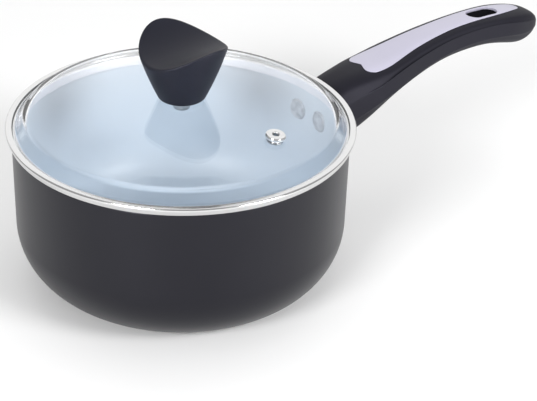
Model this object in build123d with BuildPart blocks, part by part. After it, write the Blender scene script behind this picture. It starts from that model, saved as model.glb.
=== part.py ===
"""Saucepan with a glass lid, in millimetres.

Origin: centre of the underside, on the pan's axis. +Z is up and +X runs along the handle.
The lid stands closed on the pan.
"""

import os
from math import cos, pi, radians, sin, sqrt, tan

from build123d import *

os.makedirs("parts", exist_ok=True)

# Pan
pan_radius = 92.0            # outside, at the rim
pan_height = 89.4
wall_draft = 0.7             # degrees
corner_radius = 37.2         # outside, between wall and base
wall_thickness = 2.3
floor_thickness = 4.6
lining_thickness = 0.35
disc_radius = 60.0
disc_thickness = 1.6
disc_dot_radius = 2.2
disc_dot_rings = ((20, 8), (34, 14), (48, 20))    # ring radius, number of dots
disc_edge_chamfer = 0.4

# Rivets and bracket
rivet_angle = 6.2            # degrees either side of the handle
rivet_height = 70.4
rivet_shank_radius = 2.5
rivet_head_radius = 6.25
rivet_head_height = 1.3
rivet_tail_radius = 3.5
rivet_tail_height = 1.6
rivet_taper = 12.0           # degrees, of heads and tails
head_sunk = 0.5              # the heads start this far inside the curved wall
saddle_thickness = 2.0
saddle_half_width = 12.5
saddle_middle, saddle_height = 67.5, 27.0
saddle_corner = 8.0
tang_half_width = 5.7
tang_fit = 0.2
tang_end = 131.0

# Handle: distance from the pan's axis, half width, top, bottom
handle_stations = [
    (88, 16.0, 84.8, 43.5),
    (97, 16.0, 88.0, 46.2),
    (110, 16.2, 91.5, 52.2),
    (125, 17.9, 93.7, 60.9),
    (140, 18.2, 95.2, 70.8),
    (160, 15.9, 99.2, 78.1),
    (180, 14.1, 102.1, 83.0),
    (200, 13.3, 103.6, 84.5),
    (220, 13.8, 103.4, 83.7),
    (238, 13.8, 101.9, 79.8),
    (252, 11.8, 99.7, 77.0),
    (259, 11.3, 98.6, 77.1),
    (263, 11.0, 97.6, 77.3),
    (264.9, 10.8, 97.1, 77.5),
]
tail_start, tail_end = 244.0, 265.3
tail_roundness = 2.2
top_squareness, belly_squareness = 3.0, 2.1
widest_share = 0.42          # how far down the section is widest
handle_root_radius = 97.4    # the handle's end face follows the pan wall at this radius
collar_inset = 0.4
collar_wall = 1.8
collar_web_radius = 95.9     # where the collar closes in to its plug, clear of the rivets' tails
plug_inset = 3.0
plug_wall = 1.6
plug_end = 110.0
slot_centre, slot_length, slot_width = 220.5, 22.0, 11.0
slot_mouth_round = 1.5       # underneath
slot_mouth_top = 90.0        # the slot's lower edges are below this height

# Inlay
inlay_depth = 1.4
inlay_proud = 0.25
inlay_edge_round = 0.35
inlay_plan = 60.0            # height where the inlay's outline is drawn, below the handle's top

# Handle screw, from below
handle_screw_x = 118.0
screw_shank_radius = 2.5
screw_clearance = 0.2
screw_hole_top = 75.0        # inside the tang's socket
screw_seat = 63.0
screw_tip = 82.5
screw_head_radius, screw_head_height = 4.5, 3.0
screw_head_round = 1.2
counterbore_radius = 5.4
cross_length, cross_width, cross_depth = 5.2, 1.1, 1.6
lock_washer_radius, lock_washer_height = 4.7, 1.0
lock_washer_gap = 0.8
nut_flats = 8.0
nut_height = 4.0
nut_seat = 79.0

# Lid
band_radius = 95.1
band_foot_radius = 93.9
band_bottom, band_top = 89.5, 93.9
band_sheet = 0.5
band_lip_radius = 91.6
skirt_radius = 88.2
skirt_bottom = 85.0
band_taper_top = 92.4        # the band is upright above this height
glass_thickness = 3.4
glass_edge_radius = 93.3
dome_top = 108.6
dome_radius = 404.0
dome_edge = 84.5             # where the dome would meet its shoulder, before rounding
flange_start = 90.2
inner_edge = 82.7            # the same two corners on the inner face
inner_foot = 88.7
shoulder_round = 6.0
instep_round = 2.0
glass_edge_round = 1.2
band_top_round, band_foot_round, skirt_round = 1.0, 0.8, 0.7

# Vent
vent_distance = 61.0
vent_angle = -71.3
vent_bore = 1.7
vent_tube_radius = 3.3
vent_flange_radius = 5.4
vent_flange_height = 1.3
vent_gasket_height = 0.6
vent_gasket_overhang = 0.2
vent_flange_round = 0.9
vent_foot_width, vent_foot_height = 1.2, 0.8

# Knob
knob_base = 109.1
knob_foot_radius = 12.7
knob_mid_radius, knob_mid_height = 20.45, 18.0
knob_wide_radius, knob_full_height = 26.35, 37.0
scoop_radius = 38.9
scoop_depth_height = 26.0    # height of the scoop's lowest line over the axis
scoop_tilt = 5.5             # degrees, rising towards the handle
knob_lip_round = 0.45
knob_foot_round = 1.2
insert_radius = 4.5
insert_length = 12.0
insert_lift = 0.5            # the insert's lower end, above the knob's base
knob_gasket_radius = 11.2
screw_hole_play = 0.6        # between the screw and the glass, and the gasket on it
under_play = 0.1             # between the glass and what is clamped below it
knob_screw_gap = 2.0         # between the screw's tip and the insert's upper end
screw_gasket_radius, screw_gasket_height = 6.3, 0.8
washer_radius, washer_height = 5.9, 1.0
washer_round = 0.4
knob_screw_head_radius, knob_screw_head_height = 4.8, 2.8
knob_screw_head_round = 1.4

cut_size = 400.0             # larger than the object


# ---------------------------------------------------------------- helpers

def cup_section(corner_radius_at_base, top_radius, floor, top, corner):
    """Half of a round cup's solid section, with the corner between base and wall rounded."""
    with BuildSketch(Plane.XZ) as section:
        with BuildLine():
            Polyline(
                (0, floor), (corner_radius_at_base, floor), (top_radius, top), (0, top), close=True
            )
        make_face()
        base_corner = section.vertices().group_by(Axis.Y)[0].sort_by(Axis.X)[-1]
        fillet(base_corner, corner)
    return section.sketch


def superellipse_half(half_width, height, centre_z, squareness, direction, points=11):
    """Points over one half of a handle section, from +Y to -Y; direction is 1 for the top half."""
    outline = []
    for step in range(points):
        angle = pi * step / (points - 1)
        across = abs(cos(angle)) ** (2 / squareness) * half_width
        up = abs(sin(angle)) ** (2 / squareness) * height
        outline.append((across if angle < pi / 2 else -across, centre_z + direction * up))
    return outline


def handle_shape(stations, inset=0.0):
    """Lofts a handle-shaped solid through the stations, drawn in by inset."""
    with BuildPart() as shape:
        for x, half_width, top, bottom in stations:
            middle, half_height = (top + bottom) / 2, (top - bottom) / 2
            share = min(1, max(0, (x - tail_start) / (tail_end - tail_start)))
            closing = (1 - share**tail_roundness) ** (1 / tail_roundness)
            width = half_width * closing - inset
            high = middle + half_height * closing - inset
            low = middle - half_height * closing + inset
            widest = high - widest_share * (high - low)
            with BuildSketch(Plane.YZ.offset(x)):
                with BuildLine():
                    Spline(
                        *superellipse_half(width, high - widest, widest, top_squareness, 1),
                        tangents=((0, 1), (0, -1)),
                    )
                    Spline(
                        *superellipse_half(width, widest - low, widest, belly_squareness, -1),
                        tangents=((0, -1), (0, 1)),
                    )
                make_face()
        loft()
    return shape.part


def pan_wall_plane(angle, distance):
    """A plane that faces away from the pan's axis, at the rivets' height."""
    outward = (cos(radians(angle)), sin(radians(angle)), 0)
    sideways = (-outward[1], outward[0], 0)
    centre = (outward[0] * distance, outward[1] * distance, rivet_height)
    return Plane(origin=centre, x_dir=sideways, z_dir=outward)


# ---------------------------------------------------------------- pan shell

rim_drop = tan(radians(wall_draft)) * pan_height
outer_section = cup_section(pan_radius - rim_drop, pan_radius, 0, pan_height, corner_radius)
cavity_radius = pan_radius - wall_thickness
cavity_corner = corner_radius - wall_thickness
cavity_section = cup_section(
    cavity_radius - rim_drop, cavity_radius, floor_thickness, pan_height, cavity_corner
)
bowl_radius = cavity_radius - lining_thickness
bowl_section = cup_section(
    bowl_radius - rim_drop,
    bowl_radius,
    floor_thickness + lining_thickness,
    pan_height,
    cavity_corner - lining_thickness,
)

with BuildPart() as pan_envelope:
    add(outer_section)
    revolve(axis=Axis.Z)

with BuildPart() as cavity:
    add(cavity_section)
    revolve(axis=Axis.Z)

with BuildPart() as bowl_space:
    add(bowl_section)
    revolve(axis=Axis.Z)

with BuildPart() as rivet_shanks:
    for side in (-1, 1):
        with BuildSketch(pan_wall_plane(side * rivet_angle, bowl_radius - 4)):
            Circle(rivet_shank_radius)
        extrude(amount=12)

with BuildPart() as pan_body:
    add(pan_envelope.part)
    add(cavity.part, mode=Mode.SUBTRACT)
    with BuildSketch(Plane.XY):
        Circle(disc_radius)
    extrude(amount=disc_thickness, mode=Mode.SUBTRACT)
    add(rivet_shanks.part, mode=Mode.SUBTRACT)
pan_body.part.label = "pan_body"

with BuildPart() as ceramic_lining:
    add(cavity.part)
    add(bowl_space.part, mode=Mode.SUBTRACT)
    add(rivet_shanks.part, mode=Mode.SUBTRACT)
ceramic_lining.part.label = "ceramic_lining"

with BuildPart() as base_disc:
    with BuildSketch(Plane.XY):
        Circle(disc_radius)
        for ring_radius, dots in disc_dot_rings:
            with PolarLocations(ring_radius, dots):
                Circle(disc_dot_radius, mode=Mode.SUBTRACT)
    extrude(amount=disc_thickness)
    chamfer(base_disc.edges().group_by(Axis.Z)[0].sort_by(SortBy.LENGTH)[-1], disc_edge_chamfer)
base_disc.part.label = "base_disc"

# ---------------------------------------------------------------- bracket and rivets

saddle_radius = pan_radius + saddle_thickness
tang_outline = ((90, 62), (94, 59), (tang_end, 71.5), (tang_end, 84.5), (94, 81), (90, 78))

with BuildPart() as tang_socket:
    with BuildSketch(Plane.XZ):
        with BuildLine():
            Polyline(*tang_outline, close=True)
        make_face()
        offset(amount=tang_fit, kind=Kind.INTERSECTION)
    extrude(amount=tang_half_width + tang_fit, both=True)

with BuildPart() as handle_bracket:
    with BuildSketch(Plane.XY):
        Circle(saddle_radius)
    extrude(amount=cut_size)
    with BuildSketch(Plane.YZ.offset(pan_radius / 2)):
        with Locations((0, saddle_middle)):
            RectangleRounded(2 * saddle_half_width, saddle_height, saddle_corner)
    extrude(amount=cut_size, mode=Mode.INTERSECT)
    with BuildSketch(Plane.XZ):
        with BuildLine():
            Polyline(*tang_outline, close=True)
        make_face()
    extrude(amount=tang_half_width, both=True)
    add(pan_envelope.part, mode=Mode.SUBTRACT)
    add(rivet_shanks.part, mode=Mode.SUBTRACT)
    with BuildSketch(Plane.XY.offset(screw_seat)):
        with Locations((handle_screw_x, 0)):
            Circle(screw_shank_radius)
    extrude(amount=cut_size, mode=Mode.SUBTRACT)
    with BuildSketch(Plane.XY.offset(nut_seat)):
        with Locations((handle_screw_x, 0)):
            RegularPolygon(nut_flats / 2, 6, major_radius=False)
    extrude(amount=cut_size, mode=Mode.SUBTRACT)
handle_bracket.part.label = "handle_bracket"

with BuildPart() as bracket_rivets:
    for side in (-1, 1):
        angle = side * rivet_angle
        with BuildSketch(pan_wall_plane(angle, bowl_radius - head_sunk - rivet_head_height)):
            Circle(rivet_head_radius)
        extrude(amount=rivet_head_height + wall_thickness, taper=-rivet_taper)
    add(cavity.part, mode=Mode.INTERSECT)
    add(bowl_space.part, mode=Mode.INTERSECT)
    for side in (-1, 1):
        angle = side * rivet_angle
        shank_start = bowl_radius - head_sunk
        with BuildSketch(pan_wall_plane(angle, shank_start)):
            Circle(rivet_shank_radius)
        extrude(amount=saddle_radius - shank_start)
        with BuildSketch(pan_wall_plane(angle, saddle_radius)):
            Circle(rivet_tail_radius)
        extrude(amount=rivet_tail_height, taper=rivet_taper)
bracket_rivets.part.label = "bracket_rivets"

# ---------------------------------------------------------------- flame guard

root_stations = handle_stations[:4]
handle_blank = handle_shape(handle_stations)
collar_blank = handle_shape(root_stations, collar_inset)
collar_space = handle_shape(root_stations, collar_inset + collar_wall)
plug_blank = handle_shape(root_stations, plug_inset)
plug_space = handle_shape(root_stations, plug_inset + plug_wall)

with BuildPart() as collar_hollow:
    add(collar_space)
    with BuildSketch(Plane.XY):
        Circle(collar_web_radius)
    extrude(amount=cut_size, mode=Mode.INTERSECT)

with BuildPart() as plug:
    add(plug_blank)
    with BuildSketch(Plane.YZ.offset(plug_end)):
        Rectangle(cut_size, cut_size)
    extrude(amount=cut_size, mode=Mode.SUBTRACT)

with BuildPart() as flame_guard:
    add(collar_blank)
    with BuildSketch(Plane.XY):
        Circle(handle_root_radius)
    extrude(amount=cut_size, mode=Mode.INTERSECT)
    add(plug.part)
    add(plug_space, mode=Mode.SUBTRACT)
    add(collar_hollow.part, mode=Mode.SUBTRACT)
    add(pan_envelope.part, mode=Mode.SUBTRACT)
flame_guard.part.label = "flame_guard"

# ---------------------------------------------------------------- handle

front_edge = [(131.0, 11.7), (126.6, 10.3), (124.4, 7.0), (125.2, 3.4), (126.5, 0.0)]
side_edge = [
    (249.8, 0.0), (248.9, 2.4), (245.0, 4.2), (231, 6.6), (212, 7.2),
    (190, 7.2), (170, 8.3), (150, 10.3), (138, 11.8), (131.0, 11.7),
]

with BuildSketch() as inlay_outline:
    with BuildLine():
        Spline(*side_edge)
        Spline(*front_edge)
        mirror(about=Plane.XZ)
    make_face()

with BuildSketch() as slot_outline:
    with Locations((slot_centre, 0)):
        SlotOverall(slot_length, slot_width)

with BuildPart() as inlay_prism:
    with BuildSketch(Plane.XY.offset(inlay_plan)):
        add(inlay_outline.sketch)
        add(slot_outline.sketch, mode=Mode.SUBTRACT)
    extrude(amount=inlay_plan)
    add(handle_blank.moved(Location((0, 0, -inlay_depth))), mode=Mode.SUBTRACT)

with BuildPart() as inlay_recess:
    with BuildSketch(Plane.XY.offset(inlay_plan)):
        add(inlay_outline.sketch)
    extrude(amount=inlay_plan)
    add(handle_blank.moved(Location((0, 0, -inlay_depth))), mode=Mode.SUBTRACT)

with BuildPart() as handle_inlay:
    add(inlay_prism.part)
    add(handle_blank.moved(Location((0, 0, inlay_proud))), mode=Mode.INTERSECT)
    inlay_face = handle_inlay.faces().sort_by(Axis.Z)[-1]
    fillet(inlay_face.edges(), inlay_edge_round)
handle_inlay.part.label = "handle_inlay"

with BuildPart() as handle_body:
    add(handle_blank)
    with BuildSketch(Plane.XY):
        Circle(handle_root_radius)
    extrude(amount=cut_size, mode=Mode.SUBTRACT)
    with BuildSketch(Plane.XY):
        add(slot_outline.sketch)
    extrude(amount=cut_size, mode=Mode.SUBTRACT)
    add(inlay_recess.part, mode=Mode.SUBTRACT)
    add(plug.part, mode=Mode.SUBTRACT)
    add(tang_socket.part, mode=Mode.SUBTRACT)
    with BuildSketch(Plane.XY):
        with Locations((handle_screw_x, 0)):
            Circle(screw_shank_radius + screw_clearance)
    extrude(amount=screw_hole_top, mode=Mode.SUBTRACT)
    with BuildSketch(Plane.XY):
        with Locations((handle_screw_x, 0)):
            Circle(counterbore_radius)
    extrude(amount=screw_seat, mode=Mode.SUBTRACT)

    def at_slot_mouth(edge):
        """True for the edges where the slot comes out of the belly."""
        middle = edge.center()
        return (
            abs(middle.X - slot_centre) < slot_length / 2 + 1
            and abs(middle.Y) < slot_width / 2 + 1
            and middle.Z < slot_mouth_top
        )

    fillet(handle_body.edges().filter_by(at_slot_mouth), slot_mouth_round)
handle_body.part.label = "handle_body"

lock_washer_bottom = screw_seat - lock_washer_height
screw_bottom = lock_washer_bottom - screw_head_height

with BuildPart() as handle_washer:
    with BuildSketch(Plane.XY.offset(lock_washer_bottom)):
        with Locations((handle_screw_x, 0)):
            Circle(lock_washer_radius)
            Circle(screw_shank_radius + under_play, mode=Mode.SUBTRACT)
        with Locations((handle_screw_x, lock_washer_radius)):
            Rectangle(lock_washer_gap, lock_washer_radius, mode=Mode.SUBTRACT)
    extrude(amount=lock_washer_height)
handle_washer.part.label = "handle_washer"

with BuildPart() as handle_screw:
    with BuildSketch(Plane.XY.offset(screw_bottom)):
        with Locations((handle_screw_x, 0)):
            Circle(screw_head_radius)
    extrude(amount=screw_head_height)
    fillet(handle_screw.edges().group_by(Axis.Z)[0], screw_head_round)
    with BuildSketch(Plane.XY.offset(lock_washer_bottom)):
        with Locations((handle_screw_x, 0)):
            Circle(screw_shank_radius)
    extrude(amount=screw_tip - lock_washer_bottom)
    with BuildSketch(Plane.XY.offset(screw_bottom)):
        with Locations((handle_screw_x, 0)):
            Rectangle(cross_length, cross_width)
            Rectangle(cross_width, cross_length)
    extrude(amount=cross_depth, mode=Mode.SUBTRACT)
handle_screw.part.label = "handle_screw"

with BuildPart() as tang_nut:
    with BuildSketch(Plane.XY.offset(nut_seat)):
        with Locations((handle_screw_x, 0)):
            RegularPolygon(nut_flats / 2, 6, major_radius=False)
            Circle(screw_shank_radius, mode=Mode.SUBTRACT)
    extrude(amount=nut_height)
tang_nut.part.label = "tang_nut"

# ---------------------------------------------------------------- lid

def dome_height(radius, drop=0.0):
    """Height of the dome's outer face at a distance from the axis, or of a face drop below it."""
    return dome_top - dome_radius + sqrt((dome_radius - drop) ** 2 - radius**2)


vent_tilt = vent_distance / dome_radius
vent_outward = (
    vent_tilt * cos(radians(vent_angle)),
    vent_tilt * sin(radians(vent_angle)),
    sqrt(1 - vent_tilt**2),
)
vent_centre = (
    vent_distance * cos(radians(vent_angle)),
    vent_distance * sin(radians(vent_angle)),
    dome_height(vent_distance),
)
vent_plane = Plane(origin=vent_centre, z_dir=vent_outward)
flange_top = band_top - band_sheet
flange_bottom = band_bottom + band_sheet
inner_edge_height = dome_height(inner_edge, glass_thickness)

with BuildPart() as lid_glass:
    with BuildSketch(Plane.XZ) as glass_section:
        with BuildLine():
            ThreePointArc(
                (0, dome_top), (dome_edge / 2, dome_height(dome_edge / 2)),
                (dome_edge, dome_height(dome_edge)),
            )
            Polyline(
                (dome_edge, dome_height(dome_edge)), (flange_start, flange_top),
                (glass_edge_radius, flange_top), (glass_edge_radius, flange_bottom),
                (inner_foot, flange_bottom),
                (inner_edge, inner_edge_height),
            )
            ThreePointArc(
                (inner_edge, inner_edge_height),
                (inner_edge / 2, dome_height(inner_edge / 2, glass_thickness)),
                (0, dome_top - glass_thickness),
            )
            Line((0, dome_top - glass_thickness), (0, dome_top))
        make_face()

        def glass_corner(radius, height):
            return glass_section.vertices().sort_by_distance((radius, height))[0]

        fillet(glass_corner(dome_edge, dome_height(dome_edge)), shoulder_round)
        fillet(glass_corner(flange_start, flange_top), instep_round)
        fillet(glass_corner(inner_edge, inner_edge_height), shoulder_round - glass_thickness)
        fillet(glass_corner(inner_foot, flange_bottom), instep_round + glass_thickness)
        fillet(glass_corner(glass_edge_radius, flange_top), glass_edge_round)
        fillet(glass_corner(glass_edge_radius, flange_bottom), glass_edge_round)
    revolve(axis=Axis.Z)
    with BuildSketch(Plane.XY.offset(band_bottom)):
        Circle(screw_shank_radius + screw_hole_play)
    extrude(amount=cut_size, mode=Mode.SUBTRACT)
    with BuildSketch(vent_plane):
        Circle(vent_tube_radius)
    extrude(amount=2 * glass_thickness, both=True, mode=Mode.SUBTRACT)
lid_glass.part.label = "lid_glass"

with BuildPart() as lid_rim:
    with BuildSketch(Plane.XZ) as band_section:
        with BuildLine():
            Polyline(
                (band_lip_radius, band_top), (band_radius, band_top),
                (band_radius, band_taper_top), (band_foot_radius, band_bottom),
                (skirt_radius, band_bottom), (skirt_radius, skirt_bottom),
                (skirt_radius - band_sheet, skirt_bottom), (skirt_radius - band_sheet, flange_bottom),
                (band_foot_radius - band_sheet, flange_bottom),
                (band_radius - band_sheet, band_taper_top), (band_radius - band_sheet, flange_top),
                (band_lip_radius, flange_top), close=True,
            )
        make_face()

        def band_corner(radius, height):
            return band_section.vertices().sort_by_distance((radius, height))[0]

        fillet(band_corner(band_radius, band_top), band_top_round)
        fillet(band_corner(band_foot_radius, band_bottom), band_foot_round)
        fillet(band_corner(skirt_radius - band_sheet, flange_bottom), skirt_round)
    revolve(axis=Axis.Z)
lid_rim.part.label = "lid_rim"

# ---------------------------------------------------------------- vent

with BuildPart() as vent_gasket:
    with BuildSketch(vent_plane):
        Circle(vent_flange_radius + vent_gasket_overhang)
        Circle(vent_tube_radius, mode=Mode.SUBTRACT)
    extrude(amount=vent_gasket_height)
vent_gasket.part.label = "vent_gasket"

vent_sideways = (-sin(radians(vent_angle)), cos(radians(vent_angle)), 0)
vent_section_plane = Plane(
    origin=vent_centre, x_dir=vent_sideways, z_dir=Vector(*vent_sideways).cross(Vector(*vent_outward))
)

with BuildPart() as vent_eyelet:
    eyelet_top = vent_gasket_height + vent_flange_height
    eyelet_seat = -glass_thickness - under_play
    eyelet_bottom = eyelet_seat - vent_foot_height
    eyelet_foot_radius = vent_tube_radius + vent_foot_width
    with BuildSketch(vent_section_plane) as eyelet_section:
        with BuildLine():
            Polyline(
                (vent_bore, eyelet_top), (vent_flange_radius, eyelet_top),
                (vent_flange_radius, vent_gasket_height), (vent_tube_radius, vent_gasket_height),
                (vent_tube_radius, eyelet_seat), (eyelet_foot_radius, eyelet_seat),
                (eyelet_foot_radius, eyelet_bottom), (vent_bore, eyelet_bottom), close=True,
            )
        make_face()
        fillet(eyelet_section.vertices().group_by(Axis.Y)[-1], vent_flange_round)
    revolve(axis=Axis(vent_centre, vent_outward))
vent_eyelet.part.label = "vent_eyelet"

# ---------------------------------------------------------------- knob and its screw

insert_bottom = knob_base + insert_lift

with BuildPart() as knob:
    with BuildSketch(Plane.XZ):
        with BuildLine():
            Line((0, knob_base), (knob_foot_radius, knob_base))
            ThreePointArc(
                (knob_foot_radius, knob_base),
                (knob_mid_radius, knob_base + knob_mid_height),
                (knob_wide_radius, knob_base + knob_full_height),
            )
            Polyline(
                (knob_wide_radius, knob_base + knob_full_height),
                (0, knob_base + knob_full_height),
                (0, knob_base),
            )
        make_face()
    revolve(axis=Axis.Z)
    fillet(knob.edges().group_by(Axis.Z)[0], knob_foot_round)
    tilt = radians(scoop_tilt)
    scoop_middle = (
        -sin(tilt) * scoop_radius,
        0,
        knob_base + scoop_depth_height + cos(tilt) * scoop_radius,
    )
    with BuildSketch(Plane(origin=scoop_middle, x_dir=(0, 1, 0), z_dir=(cos(tilt), 0, sin(tilt)))):
        Circle(scoop_radius)
    extrude(amount=cut_size, both=True, mode=Mode.SUBTRACT)
    knob_rim = knob.edges().filter_by(lambda edge: edge.center().Z > knob_base + knob_mid_height)
    fillet(knob_rim, knob_lip_round)
    with BuildSketch(Plane.XY.offset(knob_base)):
        Circle(insert_radius)
    extrude(amount=insert_bottom + insert_length - knob_base, mode=Mode.SUBTRACT)
knob.part.label = "knob"

with BuildPart() as knob_insert:
    with BuildSketch(Plane.XY.offset(insert_bottom)):
        Circle(insert_radius)
        Circle(screw_shank_radius, mode=Mode.SUBTRACT)
    extrude(amount=insert_length)
knob_insert.part.label = "knob_insert"

with BuildPart() as knob_gasket:
    with BuildSketch(Plane.XY.offset(dome_top)):
        Circle(knob_gasket_radius)
        Circle(screw_shank_radius + screw_hole_play, mode=Mode.SUBTRACT)
    extrude(amount=knob_base - dome_top)
knob_gasket.part.label = "knob_gasket"

screw_gasket_bottom = dome_top - glass_thickness - under_play - screw_gasket_height
washer_bottom = screw_gasket_bottom - washer_height
knob_screw_bottom = washer_bottom - knob_screw_head_height
knob_screw_tip = insert_bottom + insert_length - knob_screw_gap

with BuildPart() as screw_gasket:
    with BuildSketch(Plane.XY.offset(screw_gasket_bottom)):
        Circle(screw_gasket_radius)
        Circle(screw_shank_radius + under_play, mode=Mode.SUBTRACT)
    extrude(amount=screw_gasket_height)
screw_gasket.part.label = "screw_gasket"

with BuildPart() as screw_washer:
    with BuildSketch(Plane.XY.offset(washer_bottom)):
        Circle(washer_radius)
        Circle(screw_shank_radius + under_play, mode=Mode.SUBTRACT)
    extrude(amount=washer_height)
    washer_rim = screw_washer.edges().group_by(Axis.Z)[0].sort_by(SortBy.LENGTH)[-1]
    fillet(washer_rim, washer_round)
screw_washer.part.label = "screw_washer"

with BuildPart() as knob_screw:
    with BuildSketch(Plane.XY.offset(knob_screw_bottom)):
        Circle(knob_screw_head_radius)
    extrude(amount=knob_screw_head_height)
    fillet(knob_screw.edges().group_by(Axis.Z)[0], knob_screw_head_round)
    with BuildSketch(Plane.XY.offset(washer_bottom)):
        Circle(screw_shank_radius)
    extrude(amount=knob_screw_tip - washer_bottom)
    with BuildSketch(Plane.XY.offset(knob_screw_bottom)):
        Rectangle(cross_length, cross_width)
        Rectangle(cross_width, cross_length)
    extrude(amount=cross_depth, mode=Mode.SUBTRACT)
knob_screw.part.label = "knob_screw"

# ---------------------------------------------------------------- write

pieces = (
    pan_body, ceramic_lining, base_disc, handle_bracket, bracket_rivets, flame_guard,
    handle_body, handle_inlay, handle_washer, handle_screw, tang_nut,
    lid_glass, lid_rim, vent_eyelet, vent_gasket,
    knob, knob_gasket, knob_insert, screw_gasket, screw_washer, knob_screw,
)
for piece in pieces:
    export_step(piece.part, f"parts/{piece.part.label}.step")
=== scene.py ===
"""Saucepan with a glass lid: the finished surfaces, materials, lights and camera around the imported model.

Sizes are in millimetres until a piece's mesh is made. The origin is the middle of the underside and +X runs
along the handle.
"""
from math import acos, ceil, cos, pi, radians, sin, tan

import bmesh
import bpy
import numpy as np
from mathutils import Matrix, Vector


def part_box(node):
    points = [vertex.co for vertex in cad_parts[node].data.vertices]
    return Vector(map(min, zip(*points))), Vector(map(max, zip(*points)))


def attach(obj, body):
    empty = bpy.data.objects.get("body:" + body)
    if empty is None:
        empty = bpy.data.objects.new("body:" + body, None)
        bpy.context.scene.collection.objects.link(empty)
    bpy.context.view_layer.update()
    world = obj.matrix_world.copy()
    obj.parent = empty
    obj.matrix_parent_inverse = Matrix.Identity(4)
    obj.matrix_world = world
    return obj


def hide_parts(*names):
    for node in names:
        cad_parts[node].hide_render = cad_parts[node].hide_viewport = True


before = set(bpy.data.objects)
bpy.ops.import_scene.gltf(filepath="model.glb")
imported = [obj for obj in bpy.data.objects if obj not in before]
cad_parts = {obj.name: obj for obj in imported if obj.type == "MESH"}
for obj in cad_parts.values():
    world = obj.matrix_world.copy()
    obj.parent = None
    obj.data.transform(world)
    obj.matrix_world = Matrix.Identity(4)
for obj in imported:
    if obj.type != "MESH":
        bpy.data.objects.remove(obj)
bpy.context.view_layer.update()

MM = 0.001

SEGMENTS = 288               # around the pan and the lid
VENT_SEGMENTS = 96
RIVET_SEGMENTS = 64
KNOB_SEGMENTS = 192
ARC_STEP = 0.9               # length of a step along a large arc
SHARP_EDGE = 42.0            # degrees, above which an edge is shaded as a corner
MERGE = 1e-7                 # metres, under which points are one
HOLE_REACH = 8.0             # half the length of a rod that cuts a hole

# Pan
wall_draft = 0.7
outer_corner = 37.2
wall = 2.3
coat = 0.35
coat_lip_round = 0.15
floor_height = 4.6
rim_roll = 1.5
rim_inner_round = 0.3

# Rivets
rivet_angle = 6.2
rivet_height = 70.4
rivet_head = 6.25
rivet_proud = 1.3
rivet_sunk = 0.5             # how far the head's edge reaches below its seat
rivet_reach = 2.0            # from the wall to the tail, through the bracket
rivet_shank = 2.5
rivet_tail = 3.5

# Lid
band_sheet = 0.5
band_lip = 91.6
skirt_radius = 88.2
glass_thickness = 3.4
glass_edge = 93.3
dome_radius = 404.0
dome_edge = 84.5
flange_start = 90.2
inner_edge = 82.7
inner_foot = 88.7
shoulder_round = 6.0
instep_round = 2.0
edge_round = 1.2
band_radius = 95.1
band_foot = 93.9
band_taper_top = 92.4

# Vent
vent_distance = 61.0
vent_angle = -71.3
vent_hole = 3.3
vent_bore = 1.7
vent_flange = 5.4
vent_top = 1.9
vent_gasket = 0.6
vent_gasket_overhang = 0.2
vent_foot_width = 1.2
vent_foot_height = 0.8
screw_hole = 3.1

# Handle
slot_middle = 220.5

# Knob: radius at each height of its side, then the round scoop across its top
knob_heights = (0.0, 18.0, 37.0)
knob_radii = (12.7, 20.45, 26.35)
scoop_radius = 38.9
scoop_height = 26.0
scoop_tilt = 5.5
lip_round = 1.85
foot_round = 1.2


# ---------------------------------------------------------------- shapes

def node_box(*names):
    """Lowest and highest corners of one or more CAD nodes, in millimetres."""
    corners = [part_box(name) for name in names]
    low = np.min([tuple(low) for low, high in corners], axis=0) / MM
    high = np.max([tuple(high) for low, high in corners], axis=0) / MM
    return low, high


def rounded(corners, closed=False):
    """An outline (across, up) through corners given as (across, up, radius).

    A corner with a radius becomes an arc that touches the two runs beside it: points turn evenly about the
    arc's centre, which lies on the corner's bisector at radius / sin(half the corner). One point on each side
    of an arc keeps the flat runs flat.
    """
    outline = []
    for index, (across, up, radius) in enumerate(corners):
        corner = np.array((across, up), float)
        if radius == 0:
            outline.append(corner[None])
            continue
        before = np.array(corners[index - 1][:2], float) - corner
        after = np.array(corners[(index + 1) % len(corners)][:2], float) - corner
        before /= np.linalg.norm(before)
        after /= np.linalg.norm(after)
        half = acos(np.clip(before @ after, -1, 1)) / 2
        reach = radius / tan(half)
        middle = (before + after) / np.linalg.norm(before + after)
        centre = corner + middle * radius / sin(half)
        turn = pi - 2 * half
        steps = max(8, ceil(radius * turn / ARC_STEP))
        share = np.linspace(0, 1, steps + 1)[:, None]
        first = corner + before * reach - centre
        last = corner + after * reach - centre
        arc = centre + (np.sin((1 - share) * turn) * first + np.sin(share * turn) * last) / sin(turn)
        hold = 0.12 * radius
        outline += [(corner + before * (reach + hold))[None], arc, (corner + after * (reach + hold))[None]]
    if closed:
        outline.append(outline[0][:1])
    return np.concatenate(outline)


def turned(profile, segments=SEGMENTS):
    """A profile (radius, height) carried round the Z axis: x = radius cos, y = radius sin, z = height."""
    angle = np.linspace(0, 2 * pi, segments, endpoint=False)
    radius, height = profile[:, 0, None], profile[:, 1, None]
    return np.stack(
        [radius * np.cos(angle), radius * np.sin(angle), height + 0 * angle], axis=-1
    )


def stood(points, origin, outward):
    """Points moved from the origin, +Z up, to an origin of their own with +Z along outward."""
    turn = np.array(Vector((0, 0, 1)).rotation_difference(Vector(outward)).to_matrix())
    return points @ turn.T + np.array(origin)


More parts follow.
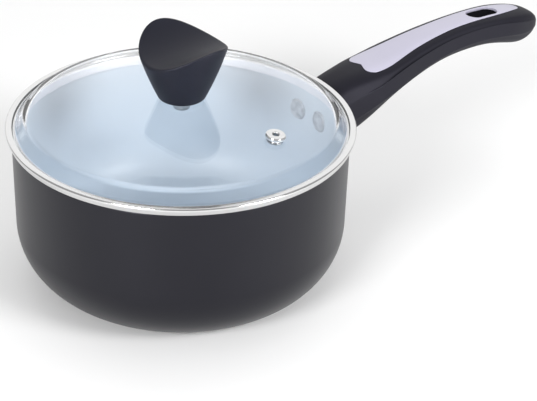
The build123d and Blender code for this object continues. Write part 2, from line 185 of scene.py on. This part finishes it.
def mesh_of(name, grids):
    """A mesh from grids of points (mm), each closed round its second direction.

    Every four neighbouring points make a face. Points that fall together at seams and poles are merged, and
    the faces are turned outwards.
    """
    points, faces, start = [], [], 0
    for grid in grids:
        rows, columns = grid.shape[:2]
        row = np.arange(rows - 1)[:, None] * columns
        column = np.arange(columns)[None]
        beside = (column + 1) % columns
        corners = (row + column, row + beside, row + columns + beside, row + columns + column)
        faces.append(np.stack(corners, axis=-1).reshape(-1, 4) + start)
        points.append(grid.reshape(-1, 3))
        start += rows * columns
    mesh = bpy.data.meshes.new(name)
    mesh.from_pydata((np.concatenate(points) * MM).tolist(), [], np.concatenate(faces).tolist())
    work = bmesh.new()
    work.from_mesh(mesh)
    bmesh.ops.remove_doubles(work, verts=work.verts, dist=MERGE)
    bmesh.ops.dissolve_degenerate(work, edges=work.edges, dist=MERGE / 10)
    bmesh.ops.recalc_face_normals(work, faces=work.faces)
    work.to_mesh(mesh)
    work.free()
    return mesh


def shade(mesh):
    """Smooth shading, with a crease at every edge sharper than SHARP_EDGE."""
    mesh.shade_smooth()
    mesh.set_sharp_from_angle(angle=radians(SHARP_EDGE))


def new_piece(name, grids, body, slot, node):
    """A finished piece made from grids of points, in place of one CAD node."""
    mesh = mesh_of(name, grids)
    shade(mesh)
    piece = bpy.data.objects.new(name, mesh)
    bpy.context.scene.collection.objects.link(piece)
    mesh.materials.append(finishes[slot])
    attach(piece, body)
    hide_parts(node)
    return piece


def cut_hole(piece, origin, outward, radius):
    """Takes a round hole out of a piece, along outward through origin, and keeps the piece's shading."""
    rod = np.array([(0, -HOLE_REACH), (radius, -HOLE_REACH), (radius, HOLE_REACH), (0, HOLE_REACH)])
    cutter = bpy.data.objects.new("hole", mesh_of("hole", [stood(turned(rod, 48), origin, outward)]))
    bpy.context.scene.collection.objects.link(cutter)
    cut = piece.modifiers.new("hole", "BOOLEAN")
    cut.operation, cut.solver, cut.object = "DIFFERENCE", "EXACT", cutter
    bpy.context.view_layer.update()
    finished = bpy.data.meshes.new_from_object(piece.evaluated_get(bpy.context.evaluated_depsgraph_get()))
    piece.modifiers.clear()
    piece.data = finished
    shade(finished)
    bpy.data.objects.remove(cutter)


# ---------------------------------------------------------------- shader words

class Amount:
    """A number that varies over a surface. Arithmetic on it adds Math nodes."""

    def __init__(self, finish, socket):
        self.finish, self.socket = finish, socket

    def math(self, operation, *values, clamp=False):
        made = self.finish.node(
            "ShaderNodeMath", {"operation": operation, "use_clamp": clamp}, dict(enumerate(values))
        )
        return Amount(self.finish, made.outputs[0])

    def __add__(self, other):
        return self.math("ADD", self, other)

    def __sub__(self, other):
        return self.math("SUBTRACT", self, other)

    def __rsub__(self, other):
        return self.math("SUBTRACT", other, self)

    def __mul__(self, other):
        return self.math("MULTIPLY", self, other)

    def __truediv__(self, other):
        return self.math("DIVIDE", self, other)

    def __pow__(self, other):
        return self.math("POWER", self, other)

    __radd__, __rmul__ = __add__, __mul__

    def size(self):
        """The number without its sign."""
        return self.math("ABSOLUTE", self)

    def between(self, low, high):
        """0 below low, 1 above high, and a straight ramp between."""
        return self.math("DIVIDE", self - low, high - low, clamp=True)


class Finish:
    """One material: a Principled shader, with constants set on it and surface detail fed to it."""

    def __init__(self, name, **constants):
        self.material = bpy.data.materials.new(name)
        self.material.use_nodes = True
        self.tree = self.material.node_tree
        self.tree.nodes.clear()
        self.out = self.tree.nodes.new("ShaderNodeOutputMaterial")
        self.shader = self.node("ShaderNodeBsdfPrincipled", {}, constants)
        self.feed(self.out.inputs["Surface"], self.shader)
        self.coordinates = self.node("ShaderNodeTexCoord").outputs["Object"]

    def feed(self, socket, value):
        if isinstance(value, Amount):
            value = value.socket
        if isinstance(value, bpy.types.Node):
            value = value.outputs[0]
        if isinstance(value, bpy.types.NodeSocket):
            self.tree.links.new(value, socket)
        elif isinstance(value, tuple) and socket.type == "RGBA":
            socket.default_value = (*value, 1.0)[:4]
        else:
            socket.default_value = value

    def node(self, kind, settings=None, sockets=None):
        """A node of a type, with its settings first and then the values or links of its sockets."""
        made = self.tree.nodes.new(kind)
        for name, value in (settings or {}).items():
            setattr(made, name, value)
        for name, value in (sockets or {}).items():
            self.feed(made.inputs[name], value)
        return made

    def wear(self, **sockets):
        """Feeds surface detail to the shader; underscores in a name stand for spaces."""
        for name, value in sockets.items():
            self.feed(self.shader.inputs[name.replace("_", " ")], value)
        return self

    def axes(self):
        parts = self.node("ShaderNodeSeparateXYZ", {}, {0: self.coordinates}).outputs
        return [Amount(self, part) for part in parts]

    def radius(self, centre=(0.0, 0.0)):
        """Distance from an upright line through centre."""
        x, y, _ = self.axes()
        return ((x - centre[0]) ** 2 + (y - centre[1]) ** 2) ** 0.5

    def noise(self, scale, detail=2.0, at=None):
        sockets = {"Vector": at or self.coordinates, "Scale": scale, "Detail": detail, "Roughness": 0.55}
        return Amount(self, self.node("ShaderNodeTexNoise", {}, sockets).outputs[0])

    def blend(self, share, first, second):
        made = self.node(
            "ShaderNodeMix",
            {"data_type": "RGBA"},
            {"Factor": share, 6: first, 7: second},
        )
        return made.outputs[2]

    def bump(self, height, depth, strength=1.0):
        """A normal from a height of 0 to 1 that stands for depth, in millimetres."""
        sockets = {"Height": height, "Distance": depth * MM, "Strength": strength}
        return self.node("ShaderNodeBump", {}, sockets)

    def rings(self, across, along, pitch):
        """Fine lines that run round the Z axis: noise that is quick across them and slow along them."""
        x, y, z = self.axes()
        where = self.node(
            "ShaderNodeCombineXYZ",
            {},
            {0: self.radius() / (pitch * MM), 1: z / (pitch * MM), 2: (x * along + y * across)},
        )
        return self.noise(1.0, 3.0, where.outputs[0])


# ---------------------------------------------------------------- finishes

def plastic(name, dark, light, roughness, grain, depth, **constants):
    """Moulded plastic: two close shades in soft clouds, and a fine moulded grain."""
    finish = Finish(name, **constants)
    clouds = finish.noise(45.0, 3.0)
    texture = finish.noise(grain, 2.0)
    return finish.wear(
        Base_Color=finish.blend(clouds, dark, light),
        Roughness=roughness + 0.10 * (clouds - 0.5) + 0.08 * (texture - 0.5),
        Normal=finish.bump(texture, depth),
    ).material


def metal(name, dark, light, roughness):
    """Bare metal with a cloudy polish and smudges."""
    finish = Finish(name, Metallic=1.0)
    streaks = finish.noise(320.0, 4.0)
    smudges = finish.noise(28.0, 2.0)
    return finish.wear(
        Base_Color=finish.blend(streaks, dark, light),
        Roughness=roughness + 0.08 * (streaks - 0.5) + 0.06 * (smudges - 0.5),
        Normal=finish.bump(streaks, 0.004),
    ).material


def pan_paint():
    """Satin charcoal enamel with a faint orange peel, lighter in soft clouds and rougher towards the foot."""
    finish = Finish("pan_paint", **{"Specular IOR Level": 0.32, "Specular Tint": (0.88, 0.88, 1.0)})
    height = finish.axes()[2]
    clouds = finish.noise(30.0, 3.0)
    peel = finish.noise(700.0, 2.0)
    # lighter in clouds over the lowest 14 mm of the wall
    foot = (1 - height.between(0.0, 0.014)) * clouds
    colour = finish.blend(clouds, (0.0022, 0.0022, 0.0036), (0.0038, 0.0037, 0.0056))
    return finish.wear(
        Base_Color=finish.blend(foot, colour, (0.030, 0.029, 0.034)),
        Roughness=0.31 + 0.05 * clouds + 0.10 * foot,
        Normal=finish.bump(peel, 0.006),
    ).material


def ceramic_coat():
    """Pale blue ceramic: glossy, with soft mottling and a fine sprayed texture."""
    finish = Finish(
        "ceramic_coat", **{"Coat Weight": 0.10, "Coat Roughness": 0.26, "Specular IOR Level": 0.30}
    )
    mottle = finish.noise(90.0, 4.0)
    spray = finish.noise(1100.0, 2.0)
    return finish.wear(
        Base_Color=finish.blend(mottle, (0.54, 0.615, 0.70), (0.57, 0.645, 0.73)),
        Roughness=0.36 + 0.06 * spray,
        Normal=finish.bump(spray, 0.004),
    ).material


def hob_disc():
    """Spun stainless disc: fine turned rings and a slight straw tint from heat."""
    finish = Finish("disc_steel", Metallic=1.0)
    turning = finish.rings(1.0, 1.0, 0.25)
    heat = finish.noise(22.0, 3.0)
    steel = finish.blend(turning, (0.50, 0.50, 0.51), (0.66, 0.66, 0.67))
    return finish.wear(
        Base_Color=finish.blend(heat.between(0.5, 0.9) * 0.5, steel, (0.60, 0.55, 0.46)),
        Roughness=0.30 + 0.12 * turning,
        Normal=finish.bump(turning, 0.012),
    ).material


def clear_glass():
    """Clear tempered glass with a trace of green and faint wiping marks. Lamps shine through it."""
    finish = Finish("lid_glass", **{"Transmission Weight": 1.0, "IOR": 1.40})
    wiped = finish.noise(14.0, 4.0)
    tint = finish.blend(wiped, (0.975, 0.985, 0.985), (0.99, 0.995, 0.995))
    finish.wear(Base_Color=tint, Roughness=0.004 + 0.012 * wiped)
    rays = finish.node("ShaderNodeLightPath")
    lamp = Amount(finish, rays.outputs["Is Shadow Ray"])
    soft = Amount(finish, rays.outputs["Is Diffuse Ray"])
    open_glass = finish.node("ShaderNodeBsdfTransparent", {}, {"Color": (0.955, 0.965, 0.97)})
    both = finish.node(
        "ShaderNodeMixShader", {}, {0: lamp.math("MAXIMUM", lamp, soft), 1: finish.shader, 2: open_glass}
    )
    finish.feed(finish.out.inputs["Surface"], both)
    return finish.material


def rivet_coat():
    """Coated rivet heads, mottled where the coat is thin."""
    finish = Finish("rivet_coat")
    mottle = finish.noise(260.0, 3.0).between(0.35, 0.65)
    grain = finish.noise(900.0, 2.0)
    return finish.wear(
        Base_Color=finish.blend(mottle, (0.29, 0.33, 0.39), (0.50, 0.54, 0.60)),
        Roughness=0.32 + 0.14 * (1 - mottle),
        Normal=finish.bump(grain, 0.006),
    ).material


def handle_plastic():
    """Moulded charcoal plastic with a fine grain. Inside the hanging slot the colour is darkened as painted
    shade, and the surface is rougher.
    """
    finish = Finish("handle_plastic", **{"Specular IOR Level": 0.20, "Specular Tint": (0.86, 0.84, 1.0)})
    clouds = finish.noise(45.0, 3.0)
    grain = finish.noise(1500.0, 2.0)
    x, y, _ = finish.axes()
    # painted shade: a mask over the hanging slot, 22 mm by 11 mm, where the plastic's colour is darkened
    along = 1 - (x - slot_middle * MM).size().between(0.0110, 0.0114)
    across = 1 - y.size().between(0.0055, 0.0059)
    slot = along * across
    moulded = finish.blend(clouds, (0.0072, 0.0071, 0.0108), (0.0098, 0.0096, 0.0142))
    return finish.wear(
        # painted shade: the slot's walls take a near-black colour
        Base_Color=finish.blend(slot, moulded, (0.0030, 0.0030, 0.0038)),
        Roughness=0.54 + 0.10 * (clouds - 0.5) + 0.08 * (grain - 0.5) + 0.35 * slot,
        Normal=finish.bump(grain, 0.010),
    ).material


def band_steel():
    """Polished rolled band with fine lines round it; the skirt under the glass is left satin."""
    finish = Finish("band_steel", Metallic=1.0)
    streaks = finish.rings(3.0, 2.0, 0.15)
    smudges = finish.noise(28.0, 2.0)
    inside = 1 - finish.radius().between(0.0888, 0.0905)
    polished = finish.blend(streaks, (0.60, 0.60, 0.60), (0.72, 0.72, 0.72))
    return finish.wear(
        Base_Color=finish.blend(inside, polished, (0.78, 0.78, 0.82)),
        Roughness=0.16 + 0.08 * (streaks - 0.5) + 0.06 * (smudges - 0.5) + 0.45 * inside,
        Normal=finish.bump(streaks, 0.003),
    ).material


finishes = {
    "pan_paint": pan_paint(),
    "ceramic_coat": ceramic_coat(),
    "disc_steel": hob_disc(),
    "lid_glass": clear_glass(),
    "bracket_steel": metal("bracket_steel", (0.42, 0.42, 0.43), (0.55, 0.55, 0.56), 0.38),
    "rivet_coat": rivet_coat(),
    "collar_steel": metal("collar_steel", (0.66, 0.66, 0.66), (0.76, 0.76, 0.76), 0.16),
    "handle_plastic": handle_plastic(),
    "inlay_plastic": plastic(
        "inlay_plastic", (0.44, 0.425, 0.53), (0.48, 0.465, 0.57), 0.34, 1200.0, 0.004,
        **{"Coat Weight": 0.3, "Coat Roughness": 0.15},
    ),
    "zinc_steel": metal("zinc_steel", (0.55, 0.56, 0.57), (0.70, 0.71, 0.72), 0.30),
    "band_steel": band_steel(),
    "vent_steel": metal("vent_steel", (0.60, 0.60, 0.60), (0.72, 0.72, 0.72), 0.20),
    "silicone": plastic("silicone", (0.36, 0.40, 0.45), (0.42, 0.46, 0.51), 0.55, 600.0, 0.008),
    "knob_plastic": plastic(
        "knob_plastic", (0.0062, 0.0070, 0.0118), (0.0085, 0.0093, 0.0148), 0.50, 1600.0, 0.008,
        **{"Specular IOR Level": 0.30, "Specular Tint": (0.86, 0.84, 1.0)},
    ),
    "insert_brass": metal("insert_brass", (0.60, 0.44, 0.20), (0.74, 0.56, 0.28), 0.28),
}


# ---------------------------------------------------------------- pan

def pan_pieces():
    """The pressed shell and its inner coat, both turned, and the two rivets set in the wall."""
    _, high = node_box("pan_body")
    rim, top = high[0], high[2]
    draft = tan(radians(wall_draft))
    _, disc_high = node_box("base_disc")
    disc_radius, disc_top = disc_high[0], disc_high[2]

    def cup(depth, floor):
        """The cup's outline at a depth inside the outer wall, from the middle of the floor to the rim."""
        return [
            (0, floor, 0), (rim - depth - draft * top, floor, outer_corner - depth), (rim - depth, top, 0)
        ]

    outer = rounded(
        cup(0, 0)[:2] + [(rim, top, rim_roll), (rim - wall, top, rim_inner_round)]
        + [cup(wall, floor_height)[1], (0, floor_height, 0)]
    )
    outside = outer[1:]
    lower = outside[:40]
    beyond = np.argmax(outside[:, 0] > disc_radius)
    edge_height = np.interp(disc_radius, lower[:, 0], lower[:, 1])
    edge = np.array([(0, disc_top), (disc_radius, disc_top), (disc_radius, edge_height)])
    shell = np.concatenate([edge, outside[beyond:]])
    new_piece("pan_shell", [turned(shell)], "pan", "pan_paint", "pan_body")

    outer_coat = cup(wall, floor_height)
    inner_coat = cup(wall + coat, floor_height + coat)
    lip = (inner_coat[2][0], top, coat_lip_round)
    lining = rounded(outer_coat + [lip, inner_coat[1], inner_coat[0]])
    new_piece("ceramic_coat", [turned(lining)], "pan", "ceramic_coat", "ceramic_lining")

    bowl = rim - wall - coat
    tail = -wall - coat - rivet_reach
    head = rounded([
        (0, rivet_proud, 0), (rivet_head - 0.9, rivet_proud - 0.25, 0.9), (rivet_head, 0, 0),
        (rivet_head, -rivet_sunk, 0), (rivet_shank, -rivet_sunk, 0), (rivet_shank, tail, 0),
        (rivet_tail, tail, 0), (rivet_tail, tail - 1.2, 0.4), (0, tail - 1.6, 0),
    ])
    rivets = []
    for side in (-1, 1):
        outward = np.array((cos(radians(side * rivet_angle)), sin(radians(side * rivet_angle)), 0))
        seat = outward * (bowl - rivet_sunk / 2) + np.array((0, 0, rivet_height))
        rivets.append(stood(turned(head, RIVET_SEGMENTS), seat, -outward))
    new_piece("rivets", rivets, "pan", "rivet_coat", "bracket_rivets")


# ---------------------------------------------------------------- lid

def dome(radius, drop=0.0):
    """Height of the glass at a distance from the axis: its outer sphere, or one drop inside it."""
    return node_box("lid_glass")[1][2] - dome_radius + np.sqrt((dome_radius - drop) ** 2 - radius**2)


def lid_pieces():
    """The domed glass with its flange, the rolled band with its skirt, and the vent."""
    band_low, band_high = node_box("lid_rim")
    glass_low, _ = node_box("lid_glass")
    foot, top = glass_low[2], band_high[2] - band_sheet
    lead = 9.0
    outer_arc = np.linspace(0, dome_edge - lead - 1, 70)
    inner_arc = np.linspace(inner_edge - lead - 1, 0, 70)
    shoulder = rounded([
        (dome_edge - lead, dome(dome_edge - lead), 0), (dome_edge, dome(dome_edge), shoulder_round),
        (flange_start, top, instep_round), (glass_edge, top, edge_round), (glass_edge, foot, edge_round),
        (inner_foot, foot, instep_round + glass_thickness),
        (inner_edge, dome(inner_edge, glass_thickness), shoulder_round - glass_thickness),
        (inner_edge - lead, dome(inner_edge - lead, glass_thickness), 0),
    ])
    section = np.concatenate([
        np.stack([outer_arc, dome(outer_arc)], axis=-1), shoulder,
        np.stack([inner_arc, dome(inner_arc, glass_thickness)], axis=-1),
    ])
    glass = new_piece("glass_dome", [turned(section)], "lid", "lid_glass", "lid_glass")

    lip_top, foot_bottom = band_high[2], glass_low[2] - band_sheet
    skirt_bottom = band_low[2]
    band = rounded([
        (band_lip, lip_top, 0.2), (band_radius, lip_top, 1.0), (band_radius, band_taper_top, 0.8),
        (band_foot, foot_bottom, 0.8), (skirt_radius, foot_bottom, 0.3), (skirt_radius, skirt_bottom, 0.2),
        (skirt_radius - band_sheet, skirt_bottom, 0.2), (skirt_radius - band_sheet, foot, 0.7),
        (band_foot - band_sheet, foot, 0.3), (band_radius - band_sheet, band_taper_top, 0.3),
        (band_radius - band_sheet, top, 0.5), (band_lip, top, 0.2),
    ], closed=True)
    new_piece("lid_band", [turned(band)], "lid", "band_steel", "lid_rim")

    lean = vent_distance / dome_radius
    x, y = cos(radians(vent_angle)), sin(radians(vent_angle))
    outward = (lean * x, lean * y, (1 - lean**2) ** 0.5)
    origin = (vent_distance * x, vent_distance * y, dome(vent_distance))
    cut_hole(glass, origin, outward, vent_hole)
    cut_hole(glass, (0, 0, dome(0.0)), (0, 0, 1), screw_hole)
    seat = -glass_thickness - 0.1
    foot_edge, foot_end = vent_hole + vent_foot_width, seat - vent_foot_height
    eyelet = rounded([
        (vent_bore, vent_top, 0.7), (vent_flange, vent_top - 0.15, 0.75), (vent_flange, vent_gasket, 0.15),
        (vent_hole, vent_gasket, 0), (vent_hole, seat, 0), (foot_edge, seat, 0.1),
        (foot_edge, foot_end, 0.3), (vent_bore, foot_end, 0.25),
    ], closed=True)
    grommet = stood(turned(eyelet, VENT_SEGMENTS), origin, outward)
    new_piece("vent_grommet", [grommet], "lid", "vent_steel", "vent_eyelet")
    gasket_edge = vent_flange + vent_gasket_overhang
    ring = rounded([
        (vent_hole, vent_gasket, 0), (gasket_edge, vent_gasket, 0.2), (gasket_edge, 0, 0.2),
        (vent_hole, 0, 0),
    ], closed=True)
    gasket = stood(turned(ring, VENT_SEGMENTS), origin, outward)
    new_piece("vent_ring", [gasket], "lid", "silicone", "vent_gasket")


# ---------------------------------------------------------------- knob

def knob_piece():
    """The knob: a flared side of radius r(h), cut off by a round scoop across its top.

    The side's radius is the parabola through the three driving radii. The top's height is
    scoop height + x tan(tilt) + (R - sqrt(R^2 - y^2)) / cos(tilt). Their meeting height is found for every
    direction at once by repeating h = top(r(h)), and both edges are rounded by a curve through the corner.
    """
    base = node_box("knob")[0][2]
    flare = np.polyfit(knob_heights, knob_radii, 2)
    angle = np.linspace(0, 2 * pi, KNOB_SEGMENTS, endpoint=False)
    tilt = radians(scoop_tilt)

    def side(height):
        return np.polyval(flare, height)

    def top(radius):
        x, y = radius * np.cos(angle), radius * np.sin(angle)
        return scoop_height + x * tan(tilt) + (scoop_radius - np.sqrt(scoop_radius**2 - y**2)) / cos(tilt)

    rim = np.full(angle.shape, scoop_height)
    for _ in range(40):
        rim = top(side(rim))
    share = np.linspace(0, 1, 9)[:, None]

    def corner(first, middle, last):
        """A curve from first to last that leaves and arrives along the lines to middle."""
        return (1 - share) ** 2 * first + 2 * share * (1 - share) * middle + share**2 * last

    rise = foot_round + np.linspace(0, 1, 40)[1:-1, None] * (rim - lip_round - foot_round)
    inward = np.linspace(1, 0, 40)[1:, None] * (side(rim) - lip_round)
    foot = knob_radii[0] + 0 * angle
    foot_radius = corner(foot - foot_round, foot, side(foot_round) + 0 * angle)
    foot_height = corner(0 * angle, 0 * angle, foot_round + 0 * angle)
    lip_radius = corner(side(rim - lip_round), side(rim), side(rim) - lip_round)
    lip_height = corner(rim - lip_round, rim, top(side(rim) - lip_round))
    radius = np.concatenate([0 * angle[None], foot_radius, side(rise), lip_radius, inward])
    height = np.concatenate([0 * angle[None], foot_height, rise, lip_height, top(inward)])
    points = np.stack([radius * np.cos(angle), radius * np.sin(angle), base + height], axis=-1)
    new_piece("lid_knob", [points], "lid", "knob_plastic", "knob")


# ---------------------------------------------------------------- studio

def studio():
    """A pale floor, soft box lamps and an even pale surround."""
    mesh = bpy.data.meshes.new("floor")
    half = 6.0
    corners = [(-half, -half, 0), (half, -half, 0), (half, half, 0), (-half, half, 0)]
    mesh.from_pydata(corners, [], [(0, 1, 2, 3)])
    floor = bpy.data.objects.new("floor", mesh)
    bpy.context.scene.collection.objects.link(floor)
    finish = Finish("floor", Roughness=0.75)
    finish.wear(Base_Color=finish.blend(finish.noise(3.0), (0.86, 0.86, 0.86), (0.90, 0.90, 0.90)))
    mesh.materials.append(finish.material)

    lamps = (
        # name, place (m), aim (m), width, height, watts
        ("left_box", (-1.28, -0.61, 0.80), (0, 0, 0.03), 0.56, 0.36, 15.0),
        ("right_box", (0.40, -1.33, 0.83), (0, 0, 0.03), 0.56, 0.36, 15.0),
        ("left_strip", (-1.08, -0.52, 0.11), (0, 0, 0.05), 0.16, 0.18, 6.0),
        ("right_strip", (0.35, -1.15, 0.11), (0, 0, 0.05), 0.16, 0.18, 6.0),
        ("back", (0.95, 1.35, 0.98), (0, 0, 0.08), 4.2, 1.7, 18.0),
        ("over", (0.3, 0.4, 2.0), (0, 0, 0.05), 1.6, 1.2, 4.0),
    )
    for name, place, aim, width, height, watts in lamps:
        lamp = bpy.data.lights.new(name, "AREA")
        lamp.shape, lamp.size, lamp.size_y, lamp.energy = "RECTANGLE", width, height, watts
        stand = bpy.data.objects.new(name, lamp)
        stand.matrix_world = Matrix.Translation(place) @ (
            (Vector(aim) - Vector(place)).to_track_quat("-Z", "Y").to_matrix().to_4x4()
        )
        bpy.context.scene.collection.objects.link(stand)

    world = bpy.data.worlds.new("surround")
    world.use_nodes = True
    world.node_tree.nodes["Background"].inputs["Color"].default_value = (1.0, 1.0, 1.0, 1.0)
    world.node_tree.nodes["Background"].inputs["Strength"].default_value = 0.45
    bpy.context.scene.world = world
    bpy.context.scene.view_settings.view_transform = "Standard"


def camera():
    """A long lens 1 m from the top of the pan's wall, turned a little so that the pan stands left and low."""
    stand_angle, stand_rise, distance = radians(-35.0), radians(27.69), 1.0
    left, over, roll = tan(radians(2.7058)), tan(radians(2.4725)), radians(-0.3508)
    aim = Vector((0, 0, 0.0939))
    level = cos(stand_rise)
    forward = Vector((-sin(stand_angle) * level, cos(stand_angle) * level, -sin(stand_rise)))
    right = Vector((cos(stand_angle), sin(stand_angle), 0))
    up = right.cross(forward)
    axes = Matrix((right, up, forward))
    ahead = Vector((-left, over, 1.0)).normalized()
    swing = Vector((0, 0, 1)).rotation_difference(ahead).to_matrix()
    turned_axes = Matrix.Rotation(roll, 3, ahead) @ swing @ axes
    pose = Matrix((turned_axes[0], turned_axes[1], -turned_axes[2])).transposed().to_4x4()
    lens = bpy.data.cameras.new("camera")
    lens.sensor_width = 36.0
    lens.lens = 123.2
    lens.clip_start, lens.clip_end = 0.01, 50.0
    stand = bpy.data.objects.new("camera", lens)
    stand.matrix_world = Matrix.Translation(aim - forward * distance) @ pose
    bpy.context.scene.collection.objects.link(stand)
    bpy.context.scene.camera = stand


# ---------------------------------------------------------------- build

for name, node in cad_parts.items():
    slot_name = node.material_slots[0].material.name.split(".")[0]
    node.material_slots[0].material = finishes[slot_name]

pan_pieces()
lid_pieces()
knob_piece()
studio()
camera()
